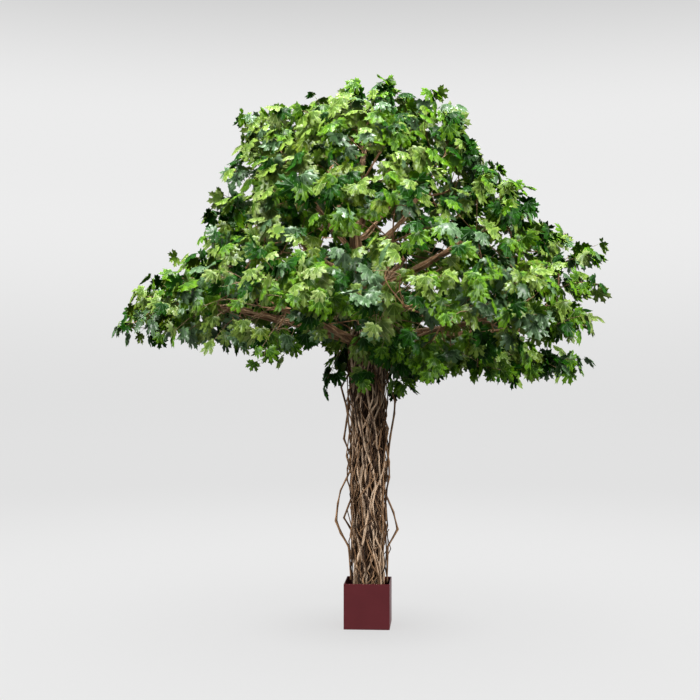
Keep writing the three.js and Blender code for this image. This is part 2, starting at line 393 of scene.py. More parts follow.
def fibrous_bark_group():
    """Bark in long fibres: takes a place on a straightened limb, gives a colour, a roughness and a height."""
    name = "Fibrous Bark"
    if name in bpy.data.node_groups:
        return bpy.data.node_groups[name]
    group = bpy.data.node_groups.new(name, "ShaderNodeTree")
    takes = {"Place": "Vector", "Bark": "Color", "Furrow": "Color", "Fibres": "Float"}
    gives = {"Colour": "Color", "Roughness": "Float", "Height": "Float"}
    for way, sockets in (("INPUT", takes), ("OUTPUT", gives)):
        for socket, kind in sockets.items():
            group.interface.new_socket(socket, in_out=way, socket_type=f"NodeSocket{kind}")
    taken = group.nodes.new("NodeGroupInput").outputs
    place = taken["Place"]
    # The clouds are stretched along the limb, and so become its fibres.
    stretched = output(group, "Mapping", "Vector", {"Vector": place, "Scale": (1.0, 1.0, 0.07)})
    fibres = clouds(group, stretched, taken["Fibres"], detail=5.0, roughness=0.62)
    furrowed = blended(group, between(group, fibres, 0.36, 0.60, 0.0, 1.0), taken["Furrow"], taken["Bark"])
    patches = between(group, clouds(group, place, scale=14.0, detail=3.0), 0.35, 0.70, 0.62, 1.18)
    each_limb = between(group, clouds(group, place, scale=0.31, detail=0.0), 0.32, 0.68, 0.58, 1.34)
    pits = between(group, cells(group, place, scale=55.0), 0.0, 0.25, 0.0, 0.35)
    given = {
        "Colour": scaled(group, furrowed, worked(group, "MULTIPLY", patches, each_limb)),
        "Roughness": between(group, fibres, 0.3, 0.7, 0.92, 0.68),
        "Height": worked(group, "ADD", fibres, pits),
    }
    fill(group, group.nodes.new("NodeGroupOutput"), given)
    return group


def bark_material(name, bark, furrow, fibres, depth):
    made = material(name, bark, 0.85, specular=0.3)
    tree = made.node_tree
    group = tree.nodes.new("ShaderNodeGroup")
    group.node_tree = fibrous_bark_group()
    place = output(tree, "Attribute", "Vector", {}, attribute_name="straightened")
    fill(tree, group, {"Place": place, "Bark": bark, "Furrow": furrow, "Fibres": fibres})
    inputs = {
        "Base Color": group.outputs["Colour"],
        "Roughness": group.outputs["Roughness"],
        "Normal": bumped(tree, group.outputs["Height"], strength=0.7, distance=depth),
    }
    return surface(made, inputs)


def lacquer_material(colour):
    """Satin lacquer: faint brush clouds in the colour, and a fine orange peel."""
    made = material("Dark red lacquer", colour, 0.38, specular=0.22)
    tree = made.node_tree
    place = output(tree, "TexCoord", "Object", {})
    brushed = clouds(tree, place, scale=9.0, detail=4.0)
    peel = clouds(tree, place, scale=520.0, detail=1.0)
    inputs = {
        "Base Color": blended(tree, brushed, shade(colour, 0.86), shade(colour, 1.16)),
        "Roughness": between(tree, brushed, 0.0, 1.0, 0.27, 0.42),
        "Normal": bumped(tree, peel, strength=0.12, distance=0.0004),
    }
    return surface(made, inputs)


def casting_material(colour):
    """Rough dark casting, with pale grit in it."""
    made = material("Rough casting", colour, 0.95)
    tree = made.node_tree
    place = output(tree, "TexCoord", "Object", {})
    grit = worked(tree, "LESS_THAN", cells(tree, place, scale=240.0), 0.16)
    rough = clouds(tree, place, scale=60.0, detail=6.0)
    inputs = {
        "Base Color": blended(tree, grit, colour, shade(colour, 3.2)),
        "Normal": bumped(tree, rough, strength=0.9, distance=0.004),
    }
    return surface(made, inputs)


# ---------------------------------------------------------------- pot


class MAPLE_OT_pot(Operator):
    """Makes the square pot, with thin walls and rounded edges"""

    bl_idname = "maple.pot"
    bl_label = "Pot"

    def execute(self, context):
        settings = context.scene.maple_pot
        low, high = (Vector(c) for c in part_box("pot"))
        bm = bmesh.new()
        bmesh.ops.create_cube(bm, size=1.0)
        bmesh.ops.scale(bm, vec=high - low, verts=bm.verts)
        bmesh.ops.translate(bm, vec=(low + high) / 2, verts=bm.verts)
        top = [f for f in bm.faces if f.normal.z > 0.9]
        bmesh.ops.inset_region(bm, faces=top, thickness=settings.wall)
        walls = bmesh.ops.extrude_face_region(bm, geom=top)
        sunk = [v for v in walls["geom"] if isinstance(v, bmesh.types.BMVert)]
        bmesh.ops.delete(bm, geom=top, context="FACES_ONLY")
        bmesh.ops.translate(bm, vec=(0, 0, settings.floor - (high.z - low.z)), verts=sunk)
        bmesh.ops.recalc_face_normals(bm, faces=bm.faces)
        rounded = {"segments": 3, "affect": "EDGES", "profile": 0.5, "material": -1}
        bmesh.ops.bevel(bm, geom=bm.edges[:], offset=settings.rounding, **rounded)
        pot = piece(mesh_of(bm, "lacquered_pot"), [lacquer_material(settings.lacquer)], ["pot"])
        pot.modifiers.new("Flat walls", "WEIGHTED_NORMAL").keep_sharp = True
        return {"FINISHED"}


class MAPLE_OT_filling(Operator):
    """Makes the rough casting that holds the lianas in the pot"""

    bl_idname = "maple.filling"
    bl_label = "Pot filling"

    def execute(self, context):
        colour = context.scene.maple_pot.casting
        low, high = (Vector(c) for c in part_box("pot_filling"))
        middle = (low + high) / 2
        # The rough face lies a little below the top of the CAD filling, so that its lumps stay under it.
        sunk = 0.008
        bm = bmesh.new()
        bmesh.ops.create_grid(bm, x_segments=44, y_segments=44, size=0.5)
        bmesh.ops.scale(bm, vec=(high.x - low.x, high.y - low.y, 1), verts=bm.verts)
        for v in bm.verts:
            v.co.z = 0.007 * noise.noise(v.co * 45) + 0.003 * noise.noise(v.co * 140)
        bmesh.ops.translate(bm, vec=(middle.x, middle.y, high.z - sunk), verts=bm.verts)
        rim = [e for e in bm.edges if e.is_boundary]
        for v in bmesh.ops.extrude_edge_only(bm, edges=rim)["geom"]:
            if isinstance(v, bmesh.types.BMVert):
                v.co.z = low.z
        bmesh.ops.edgeloop_fill(bm, edges=[e for e in bm.edges if e.is_boundary])
        bmesh.ops.recalc_face_normals(bm, faces=bm.faces)
        mesh = mesh_of(bm, "cast_filling", smooth=False)
        piece(mesh, [casting_material(colour)], ["pot_filling"])
        return {"FINISHED"}


# ---------------------------------------------------------------- lianas

# How each kind of liana winds: waves of the angle, each a pair of ranges for its size and its length.
FINE_WAVES = ((0.2, 0.9), (0.5, 1.1)), ((0.05, 0.34), (0.18, 0.40))
INNER_WAVES = (((0.1, 0.5), (0.6, 1.2)),)
STOUT_WAVES = ((0.25, 0.85), (0.8, 1.5)), ((0.04, 0.16), (0.25, 0.5))
STRAY_WAVES = ((0.1, 0.5), (0.5, 1.0)), ((0.05, 0.25), (0.20, 0.40))
# The kinks of stray lianas, of loose ones and of those wound on boughs, and the radius of the loose ones.
STRAY_KINK, LOOSE_KINK, WOUND_KINK, LOOSE_RADIUS = 0.006, 0.007, 0.006, 0.0056
# The points of a liana of the bundle, how far below the filling's face it starts, and the others' step.
LIANA_POINTS, BURIED, LIANA_STEP = 66, 0.03, 0.024
# How a liana's bark is drawn: its fibres to a metre across, and the depth of its relief.
LIANA_FIBRES, LIANA_RELIEF = 420.0, 0.0012
# What is picked at random for the trunk's lianas, those wound on boughs, and the kinds of the leaves.
LIANA_SEED, WOUND_SEED, LEAF_SEED = 301, 58, 77


def knots_along(count, apart, pick):
    """Numbers of the points that carry a knot, from the first to the last."""
    at = [0]
    while at[-1] < count - 1:
        at.append(min(at[-1] + int(pick.integers(*apart)), count - 1))
    return np.array(at)


def straight_between(knots, values, count):
    """A value for every point, straight from knot to knot, and which points are knots."""
    every = np.arange(count)
    straight = np.stack([np.interp(every, knots, values[:, axis]) for axis in range(3)], axis=1)
    return straight, np.isin(every, knots)


def kinked(points, kink, pick):
    """The points with a small jump aside every few of them, straight between the jumps."""
    at = knots_along(len(points), (2, 5), pick)
    jumps = pick.normal(0, kink * 0.6, (len(at), 3)) * (1, 1, 0.3)
    jumps[0] = jumps[-1] = 0
    aside, knots = straight_between(at, jumps, len(points))
    return points + aside, knots


def angular(points, kink, pick):
    """The points drawn straight from knot to knot, with each knot a little aside."""
    at = knots_along(len(points), (3, 6), pick)
    held = points[at] + pick.normal(0, kink, (len(at), 3)) * (1, 1, 0.5)
    held[0], held[-1] = points[0], points[-1]
    return straight_between(at, held, len(points))


def liana_radii(count, thick, knots, pick):
    """Radii with a slow swell, and a bulge at every knot."""
    swell = 1 + 0.14 * np.interp(np.arange(count), np.linspace(0, count, 9), pick.normal(0, 1, 9))
    return thick * swell * np.where(knots, 1.24, 0.97)


def trunk_line():
    """Middle and radius of the bundle against height, from the CAD trunk."""
    points = corners("trunk")
    heights = np.linspace(points[:, 2].min(), points[:, 2].max(), 9)
    middles, radii = [], []
    for height in heights:
        ring = points[np.abs(points[:, 2] - height) < 0.10]
        middle = ring[:, :2].mean(0)
        middles.append(middle)
        radii.append(np.linalg.norm(ring[:, :2] - middle, axis=1).max())
    return heights, np.array(middles), np.array(radii)


class MAPLE_OT_lianas(Operator):
    """Twists the trunk out of lianas, with a dark core as painted shade and loose loops at its sides"""

    bl_idname = "maple.lianas"
    bl_label = "Liana trunk"

    def execute(self, context):
        settings = context.scene.maple_lianas
        pick = np.random.default_rng(LIANA_SEED)
        heights, middles, radii = trunk_line()
        foot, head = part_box("pot_filling")[1][2] - BURIED, heights[-1]
        z = np.linspace(foot, head, LIANA_POINTS)
        bundles = {"tan": [], "brown": [], "dark": []}

        def bundle_point(angle, share, z):
            """Points round the bundle's middle, at a share of its radius and at given heights."""
            radius = np.interp(z, heights, radii) * share
            x = np.interp(z, heights, middles[:, 0]) + radius * np.cos(angle)
            y = np.interp(z, heights, middles[:, 1]) + radius * np.sin(angle)
            return np.stack([x, y, z + 0 * x], axis=-1)

        def waves(*sizes_and_lengths):
            """A sum of waves along the height. Each picks its size and its length from a pair of ranges."""
            return sum(
                pick.uniform(*sizes) * np.sin(TURN * z / pick.uniform(*lengths) + pick.uniform(*ANY_ANGLE))
                for sizes, lengths in sizes_and_lengths
            )

        def winding(number, count, sizes_and_lengths):
            """The angle of a liana round the bundle at each height."""
            start = TURN * (number + pick.uniform(-0.4, 0.4)) / count
            return start + waves(*sizes_and_lengths) + pick.uniform(-0.8, 0.8) * (z - foot)

        def strand(tone, angle, share, thick, bend=kinked, kink=settings.kink):
            """Adds a liana of one tone, at a share of the bundle's radius and closer in near the foot."""
            waist = 1 - 0.10 * np.exp(-(((z - foot) / 0.22) ** 2))
            points, knots = bend(bundle_point(angle, share * waist, z), kink, pick)
            bundles[tone].append((points, liana_radii(len(z), thick, knots, pick)))

        def radius_between(low, high):
            """A liana's radius, picked between two shares of the way from the thinnest to the thickest."""
            return settings.thin + (settings.thick - settings.thin) * pick.uniform(low, high)

        for number in range(settings.fine):
            tone = pick.choice(("tan", "brown", "dark"), p=(0.14, 0.52, 0.34))
            angle = winding(number, settings.fine, FINE_WAVES)
            share = pick.uniform(0.66, 0.84) + waves(((0.03, 0.08), (0.25, 0.6)))
            strand(tone, angle, share, radius_between(0.0, 0.30))
        for number in range(settings.inner):
            # Most inner lianas take the darkest bark, as painted shade inside the bundle.
            tone = "brown" if pick.random() < 0.25 else "dark"
            angle = winding(number, settings.inner, INNER_WAVES)
            strand(tone, angle, pick.uniform(0.50, 0.66), radius_between(0.2, 0.6))
        for number in range(settings.stout):
            angle = winding(number, settings.stout, STOUT_WAVES)
            share = pick.uniform(0.78, 0.92) + waves(((0.02, 0.07), (0.3, 0.6)))
            thick = radius_between(0.38, 0.86)
            strand("tan", angle, share, thick)
            if number % 2 == 0:
                # A thinner fork leaves the stout liana part of the way up.
                parting = np.clip((z - pick.uniform(foot + 0.2, head - 0.4)) / 0.35, 0, 1)
                aside = pick.choice((-1, 1)) * pick.uniform(0.5, 1.1) * (3 * parting**2 - 2 * parting**3)
                strand("tan", angle + aside, share - 0.02, 0.62 * thick)
        for number in range(settings.stray):
            angle = winding(number, settings.stray, STRAY_WAVES)
            bow = 0.5 + 0.5 * waves(((1.0, 1.0), (0.32, 0.62)))
            drawn_in = np.clip(4 - 4 * (z - foot) / (head - foot), 0, 1)
            share = 0.84 + pick.uniform(0.16, 0.44) * bow**1.6 * drawn_in
            tone = "brown" if pick.random() < 0.6 else "dark"
            strand(tone, angle, share, radius_between(0.1, 0.4), angular, STRAY_KINK)

        # A loose liana follows its CAD loop from knot to knot, and lies along the bundle past each end.
        for name in LOOSE_LIANAS:
            line, _ = resample(*middle_line(name, steps=9), LIANA_STEP)
            if line[0][2] > line[-1][2]:
                line = line[::-1]
            angles = [math.atan2(p[1] - middles[0][1], p[0] - middles[0][0]) for p in (line[0], line[-1])]
            bowed = np.sin(np.pi * np.linspace(0, 1, len(line)))[:, None]
            line = line + 0.012 * bowed * unit(line * (1, 1, 0))
            below = bundle_point(angles[0], 0.93, np.linspace(line[0][2] - 0.17, line[0][2] - 0.03, 4))
            above = bundle_point(angles[1], 0.93, np.linspace(line[-1][2] + 0.03, line[-1][2] + 0.17, 4))
            points, knots = angular(np.concatenate([below, line, above]), LOOSE_KINK, pick)
            # Every other loose liana takes the darkest bark, partly as painted shade.
            tone = "dark" if len(bundles["dark"]) % 2 else "brown"
            bundles[tone].append((points, liana_radii(len(points), LOOSE_RADIUS, knots, pick)))

        # Short thin ends stand off the bundle where side shoots were cut.
        for _ in range(settings.ends):
            rise, angle = pick.uniform(foot + 0.1, head - 0.2), pick.uniform(*ANY_ANGLE)
            climb = pick.choice((-1, 1)) * pick.uniform(0.04, 0.13)
            t = np.linspace(0, 1, 6)
            angle = angle + pick.uniform(-0.8, 0.8) * t
            points = bundle_point(angle, 0.9 + pick.uniform(0.1, 0.32) * t, rise + climb * t)
            points, knots = kinked(points, settings.kink, pick)
            bundles["brown"].append((points, liana_radii(len(t), settings.thin, knots, pick)))

        furrows = {"tan": settings.brown, "brown": settings.dark, "dark": shade(settings.dark, 0.4)}
        barks = {}
        for tone, limbs in bundles.items():
            look = getattr(settings, tone), furrows[tone], LIANA_FIBRES, LIANA_RELIEF
            barks[tone] = bark_material(f"{tone.title()} liana bark", *look)
            mesh = tubes(f"lianas_{tone}", limbs, sides=8)
            piece(mesh, [barks[tone]], ["trunk", *LOOSE_LIANAS])

        # The core is one stout stem in the darkest bark, painted shade that fills the middle of the bundle.
        core = bundle_point(0.0, 0.0, z), 0.46 * np.interp(z, heights, radii)
        mesh = tubes("bundle_core", [core], sides=24)
        for v in mesh.vertices:
            away = Vector((v.co.x, v.co.y, 0)).normalized()
            v.co += away * 0.009 * noise.noise(Vector((v.co.x * 60, v.co.y * 60, v.co.z * 6)))
        piece(mesh, [barks["dark"]], ["trunk"])
        return {"FINISHED"}


# ---------------------------------------------------------------- the crown's plan


class Crown:
    """Where every bough, branch, spray and leaf of the crown grows. It is worked out once from the seed."""

    HEART = np.array((0.03, 0.0, 1.62))
    LIMB_STEPS = 24
    # The crown's face is held as its reach from the heart, at steps round, and at steps up from the lowest.
    STEP = math.radians(5)
    ROUND, RISE, LOWEST = 72, 36, math.radians(-85)
    # How wide a cleft between masses is filled, how much of it, and how widely the face is smoothed.
    CLEFT, FILLED, SMOOTHED = math.radians(16), 0.85, math.radians(4.5)
    # Each layer of sprays: its least and greatest depth below the crown's face, and how widely it is spaced.
    LAYERS = ((-0.035, 0.045, 1.0), (0.12, 0.23, 1.75), (0.30, 0.46, 2.6))
    # How far the crown's face stands out past its masses, for every 10 degrees up from -40: first on the
    # right, then on the left.
    LET_OUT = (
        (-0.16, 0.14, 0.19, -0.09, -0.06, -0.01, 0.03, -0.11, -0.03, -0.01, -0.045, 0.085, -0.045, -0.025),
        (0.05, -0.05, 0.07, 0.17, 0.025, -0.055, -0.125, -0.135, -0.04, -0.035, 0.06, -0.025, -0.02, -0.025),
    )
    # Places tried for sprays, and how far below level they go.
    THROWS, UNDERSIDE = 26000, math.radians(-72)
    # How far a face looks down where it counts as the underside, and how far sprays are lifted there.
    UNDER, LIFTED = -0.35, 0.110
    # The room kept clear round the trunk, and the height above which there is none.
    TRUNK_ROOM, TRUNK_TOP = 0.17, 1.8
    # The sprays that hang from the head of the trunk: the heights of their feet and tips, and their reach.
    HANG_FROM, HANG_TO, HANG_OUT = (1.54, 1.60), (1.28, 1.39), (0.17, 0.24)
    # The long arm on the left: where it begins, over what length its sprays come down and out, and how far.
    ARM_BEGINS, ARM_LENGTH, ARM_MOVED = -0.85, 0.4, (0.035, 0.0, 0.05)
    # The fringe on the left: its top, its end beside the trunk, how softly it ends, and how far it hangs.
    FRINGE_TOP, FRINGE_END, FRINGE_SOFT, FRINGE_HANGS = 1.66, -0.25, 0.10, 0.09
    # How much the way along a branch counts against the way to it, the radius of a branch that carries one
    # spray, and how fast it thickens with more.
    THRIFT, ONE_SPRAY, THICKENS = 0.55, 0.0022, 0.47
    # Where a spray carries its pairs of leaves, as shares of its length, and how many leaves are missing.
    PAIRS, MISSING = (0.12, 0.34, 0.56, 0.76, 0.92), 0.22
    # A spray's twig: its radii at the foot and the tip, its steps, and how far it bends for its length.
    TWIG_RADII, TWIG_STEPS, TWIG_BEND = (0.0021, 0.0011), 7, 0.12
    # The side from which each kind of bough is left open to view, in degrees from its way. Then the half
    # width of the opening, and how many of the leaves before it are taken away.
    OPEN_AT = {"shoulder": -63, "skirt": 66}
    OPENING, CLEARED = 0.068, 0.96

    def __init__(self, settings):
        self.pick = np.random.default_rng(settings.seed)
        self.settings = settings
        self.limbs = {name: middle_line(name, self.LIMB_STEPS) for name in ["leader", *BOUGHS]}
        self.reach = self.reach_of_masses()
        self.foot, self.tip, self.way, self.layer = self.place_sprays()
        self.branches = self.grow_branches()
        self.twigs, self.leaves = self.place_leaves()

    @staticmethod
    def direction(round_, up):
        return np.stack([np.cos(round_) * np.cos(up), np.sin(round_) * np.cos(up), np.sin(up)], axis=-1)

    def reach_of_masses(self):
        """How far the masses reach from the crown's heart, with most of each cleft between them filled."""
        corner, triangle, count = [], [], 0
        for name in LEAF_MASSES:
            mesh = NODES[name].data
            mesh.calc_loop_triangles()
            corner.append(rows_of(mesh.vertices, "co"))
            triangle.append(rows_of(mesh.loop_triangles, "vertices", np.int32) + count)
            count += len(mesh.vertices)
        corner, triangle = np.concatenate(corner), np.concatenate(triangle)
        cast = BVHTree.FromPolygons(corner.tolist(), triangle.tolist())
        steps = np.arange(self.ROUND) * self.STEP, np.arange(self.RISE) * self.STEP + self.LOWEST
        round_, up = np.meshgrid(*steps, indexing="ij")
        ways = self.direction(round_, up).reshape(-1, 3)
        reach = np.zeros(len(ways))
        for k, w in enumerate(ways):
            hit = cast.ray_cast(Vector(self.HEART + 3 * w), Vector(-w), 3.0)
            if hit[0] is not None:
                reach[k] = 3 - hit[3]
        apart = np.arccos(np.clip(ways @ ways.T, -1, 1))
        near = apart < self.CLEFT
        widened = np.where(near, reach[None], -1).max(1)
        filled = np.where(near, widened[None], 9).min(1)
        reach = reach + self.FILLED * (filled - reach)
        soft = np.exp(-((apart / self.SMOOTHED) ** 2))
        reach = (soft @ reach / soft.sum(1)).reshape(round_.shape)
        for side, let_out in zip((1, -1), self.LET_OUT):
            share = 0.5 + 0.5 * side * np.cos(round_)
            reach += share * np.interp(np.degrees(up), np.arange(-40, 91, 10), let_out)
        return reach

    def face_point(self, round_, up):
        """Points of the crown's face in the given directions."""
        i, j = round_ / self.STEP, np.clip((up - self.LOWEST) / self.STEP, 0, self.RISE - 1.001)
        i0, j0 = np.floor(i).astype(int), np.floor(j).astype(int)
        u, v = i - i0, j - j0
        a, b = i0 % self.ROUND, (i0 + 1) % self.ROUND
        reach = (1 - v) * ((1 - u) * self.reach[a, j0] + u * self.reach[b, j0]) + v * (
            (1 - u) * self.reach[a, j0 + 1] + u * self.reach[b, j0 + 1]
        )
        return self.HEART + reach[..., None] * self.direction(round_, up)

    def place_sprays(self):
        """Spreads sprays over the crown's face and in two looser layers behind it.

        It gives their feet, their tips, the ways in which they face, and their layers.
        """
        pick, settings = self.pick, self.settings
        small = math.radians(3)
        round_ = pick.uniform(0, TURN, self.THROWS)
        up = np.arcsin(pick.uniform(math.sin(self.UNDERSIDE), 1, self.THROWS))
        spot = self.face_point(round_, up)
        across = self.face_point(round_ + small, up) - self.face_point(round_ - small, up)
        along = self.face_point(round_, up + small) - self.face_point(round_, up - small)
        face = unit(np.cross(across, along))
        way = unit(0.4 * face + 0.7 * unit(spot - self.HEART))
        under = face[:, 2] < self.UNDER
        from_trunk = np.hypot(spot[:, 0], spot[:, 1])
        clear_of_trunk = (from_trunk > self.TRUNK_ROOM) | (spot[:, 2] > self.TRUNK_TOP)
        sprays = []
        for layer, (shallow, deep, gap) in enumerate(self.LAYERS):
            kept = np.empty((0, 3))
            for k in np.nonzero(clear_of_trunk)[0]:
                if under[k] and layer == 2:
                    continue
                w = way[k]
                place = spot[k] - w * pick.uniform(shallow, deep)
                if under[k]:
                    place[2] += self.LIFTED
                else:
                    place[2] += 0.045 * min(max(0.5 + 2 * w[2], 0), 1) - 0.05 * max(w[2], 0) ** 3
                high = min(max((spot[k][2] - 1.9) / 0.5, 0.0), 1.0)
                room = settings.spacing * gap * (1.08 if under[k] else 1 + high * (0.5 if layer else 0.05))
                if len(kept) and ((kept - place) ** 2).sum(1).min() < room * room:
                    continue
                kept = np.vstack([kept, place])
                heading = unit(
                    w * (1, 1, 0.5 if under[k] else 1)
                    + unit(np.cross(w, UP)) * pick.normal(0, 0.45)
                    + UP * pick.normal(-0.1 if under[k] else 0.08, 0.22)
                )
                tip = place - 0.025 * w
                sprays.append((tip - heading * settings.reach * pick.uniform(0.75, 1.15), tip, w, layer))
        # A few sprays hang from the head of the trunk, all round it.
        for number in range(settings.hanging):
            angle = TURN * (number + pick.uniform(-0.3, 0.3)) / settings.hanging
            w = np.array((math.cos(angle), math.sin(angle), 0.0))
            foot = 0.10 * w + UP * pick.uniform(*self.HANG_FROM)
            tip = pick.uniform(*self.HANG_OUT) * w + UP * pick.uniform(*self.HANG_TO)
            sprays.append((foot, tip, w, 1))
        foot, tip, way, layer = (np.array(part) for part in zip(*sprays))
        # The long arm on the left reaches out and droops.
        far = np.clip((self.ARM_BEGINS - tip[:, :1]) / self.ARM_LENGTH, 0, 1)
        tip = tip - far * self.ARM_MOVED
        # Every third spray of the fringe on the left hangs a little below the rest.
        rim = np.clip((self.FRINGE_TOP - tip[:, 2]) / self.FRINGE_SOFT, 0, 1)
        rim = rim * np.clip((self.FRINGE_END - tip[:, 0]) / self.FRINGE_SOFT, 0, 1)
        tip[:, 2] -= self.FRINGE_HANGS * rim * (np.arange(len(tip)) % 3 == 1)
        return foot, tip, way, layer

    def starts_on_limbs(self):
        """Points of the boughs where branches may start, what each costs, and the bough's radius there."""
        starts = []
        for name, (line, radii) in self.limbs.items():
            first = 0.3 if name == "leader" else 0.45
            run = np.linalg.norm(np.diff(line, axis=0), axis=1).sum()
            for t, point, radius in zip(np.linspace(0, 1, len(line)), line, radii):
                if t >= first:
                    starts.append((point, 0.5 * run * (1 - t), radius))
        return zip(*starts)

    def grow_branches(self):
        """Joins each spray's foot to the boughs by the shortest branches that are still fairly direct."""
        limb_points, limb_cost, limb_radius = self.starts_on_limbs()
        rooted = len(limb_points)
        place = np.concatenate([limb_points, self.foot])
        cost = np.concatenate([limb_cost, np.zeros(len(self.foot))])
        parent = np.full(len(place), -1)
        left = np.arange(rooted, len(place))
        reach = np.linalg.norm(place[left][:, None] - place[:rooted][None], axis=2)
        reach = reach + self.THRIFT * cost[:rooted]
        best, best_from = reach.min(1), reach.argmin(1)
        while len(left):
            k = best.argmin()
            new, source = left[k], best_from[k]
            parent[new] = source
            cost[new] = cost[source] + np.linalg.norm(place[new] - place[source])
            left, best, best_from = (np.delete(x, k) for x in (left, best, best_from))
            if len(left):
                through = np.linalg.norm(place[left] - place[new], axis=1) + self.THRIFT * cost[new]
                shorter = through < best
                best[shorter], best_from[shorter] = through[shorter], new
        # A branch carries as many sprays as grow beyond it.
        load = np.zeros(len(place))
        load[rooted:] = 1
        for node in np.argsort(cost[rooted:])[::-1] + rooted:
            if parent[node] >= rooted:
                load[parent[node]] += load[node]
        children = [[] for _ in place]
        for node in range(rooted, len(place)):
            children[parent[node]].append(node)
        branches = []
        starts = [(k, child) for k in range(rooted) for child in children[k]]
        while starts:
            source, node = starts.pop()
            path = [source, node]
            while children[path[-1]]:
                heirs = sorted(children[path[-1]], key=lambda n: -load[n])
                starts.extend((path[-1], other) for other in heirs[1:])
                path.append(heirs[0])
            radii = self.ONE_SPRAY * np.maximum(load[path], 1) ** self.THICKENS
            radii[0] = radii[1] * 1.12
            if source < rooted:
                radii = np.minimum(radii, 0.85 * limb_radius[source])
            points = place[path]
            swing = self.pick.normal(0, 0.035, (len(path), 3)) * np.linalg.norm(points[1] - points[0])
            swing[0] = swing[-1] = 0
            branches.append(resample(points + swing, radii, step=0.028))
        return branches

    def gaps(self):
        """Stretches of the boughs that show between the leaves, and the way in which each is open."""
        found = []
        for name, (line, _) in self.limbs.items():
            turn = self.OPEN_AT.get(name.split("_")[0])
            if turn is None:
                continue
            round_ = math.atan2(*(line[-1] - line[0])[1::-1]) + math.radians(turn)
            open_way = unit(np.array((math.cos(round_), math.sin(round_), -0.06)))
            start, long = self.pick.uniform(0.2, 0.35), self.pick.uniform(0.3, 0.5)
            first, last = (int(self.LIMB_STEPS * share) for share in (start, start + long))
            found.append((line[first : last + 1], open_way))
        return found

    def painted_shade_and_light_odds(self, layer, height):
        """How often a spray takes each tint: darker tints low down and inside, as painted shade, and paler
        ones high up, as painted light from above.
        """
        # Low down and in the inner layers the deep tint gains, as painted shade; high up the fresh and lime
        # tints gain, as painted light.
        low = min(max((1.62 - height) / 0.25, 0.0), 1.0)
        lift = (height - 1.55) / 1.4
        shift = (
            (1.0 + 0.9 * low, 1.0, 1.0 + 0.5 * lift - 0.4 * low, 1.0 + 0.8 * lift - 0.6 * low, 1.0, 1.0),
            (2.2 + 2 * low, 1.3, 0.6, 0.3, 0.8, 0.9),
            (6.0, 1.0, 0.1, 0.0, 0.2, 0.6),
        )[layer]
        share = np.array([tint[3] for tint in TINTS.values()]) * shift
        return share / share.sum()

    def on_twig(self, foot, span, t):
        """Points of a spray's twig, which rises a little and then droops to its tip."""
        bend = self.TWIG_BEND * np.linalg.norm(span)
        return foot + span * t + UP * (bend * (1.6 * t - 2.0 * t**2))

    def place_leaves(self):
        """Sets leaves in pairs along each spray, and one at its tip. It gives twigs and arrays of leaves."""
        pick, settings = self.pick, self.settings
        # Every second pair is set crosswise. A sign is a side, and 0 is the tip.
        nodes = [(at, side * (1 + k % 2)) for k, at in enumerate(self.PAIRS) for side in (1, -1)]
        nodes.append((1.0, 0))
        steps = np.linspace(0, 1, self.TWIG_STEPS)[:, None]
        twig_radii = np.linspace(*self.TWIG_RADII, self.TWIG_STEPS)
        twigs, leaves = [], []
        for foot, tip, way, layer in zip(self.foot, self.tip, self.way, self.layer):
            span = tip - foot
            twigs.append((self.on_twig(foot, span, steps), twig_radii))
            # These odds paint shade and light into the leaves' tints.
            share = self.painted_shade_and_light_odds(layer, tip[2])
            own = pick.choice(len(TINTS), p=share)
            along = unit(span)
            side = unit(np.cross(along, UP) + 1e-6)
            raised = unit(np.cross(side, along))
            turn = pick.uniform(-0.5, 0.5)
            grown = pick.uniform(0.86, 1.1)
            for at, which in nodes:
                if pick.random() < self.MISSING:
                    continue
                if which == 0:
                    lean = along + 0.3 * side * pick.normal(0, 1)
                else:
                    angle = turn + (0 if abs(which) == 1 else math.pi / 2) + (math.pi if which < 0 else 0)
                    lean = 0.85 * (math.cos(angle) * side + math.sin(angle) * raised) + 0.45 * along
                lean = unit(lean + 0.25 * UP + 0.15 * pick.normal(0, 1, 3))
                stalk = settings.stalk * pick.uniform(0.6, 1.25) * (0.7 if which == 0 else 1.0)
                hang = pick.uniform(0.45, 1.5)
                out = 0.40 * way * (1, 1, 0.4)
                point = unit(0.55 * lean + out - hang * UP + 0.26 * pick.normal(0, 1, 3))
                faced = unit(0.45 * UP + 0.85 * way + 0.52 * pick.normal(0, 1, 3))
                faced = unit(faced - point * (faced @ point))
                young = 0.84 if which == 0 or at > 0.85 else 1.0
                size = settings.leaf * grown * young * pick.uniform(0.84, 1.16)
                tint = own if pick.random() < 0.5 else pick.choice(len(TINTS), p=share)
                node = self.on_twig(foot, span, at)
                blade = np.stack([np.cross(point, faced), point, faced])
                leaves.append((node, node + lean * stalk, blade, size, tint))
        keys = "foot", "top", "blade", "size", "tint"
        leaves = {key: np.array(part) for key, part in zip(keys, zip(*leaves))}
        centre = leaves["top"] + 0.5 * leaves["size"][:, None] * leaves["blade"][:, 1]
        kept = np.ones(len(centre), dtype=bool)
        for stretch, open_way in self.gaps():
            cover = stretch + 0.025 * UP
            flat = cover - (cover @ open_way)[:, None] * open_way
            flat_centre = centre - (centre @ open_way)[:, None] * open_way
            off = np.linalg.norm(flat_centre[:, None] - flat[None], axis=2)
            ahead = (centre @ open_way) - (stretch @ open_way)[off.argmin(1)]
            before = (off.min(1) < self.OPENING) & (ahead > -0.03) & (ahead < 1.3)
            kept &= ~(before & (pick.random(len(centre)) < self.CLEARED))
        return twigs, {key: value[kept] for key, value in leaves.items()}


PLANS = {}


def crown_plan(context):
    settings = context.scene.maple_crown
    key = tuple(getattr(settings, name) for name in CrownSettings.__annotations__)
    if key not in PLANS:
        PLANS[key] = Crown(settings)
    return PLANS[key]


# ---------------------------------------------------------------- boughs and twigs


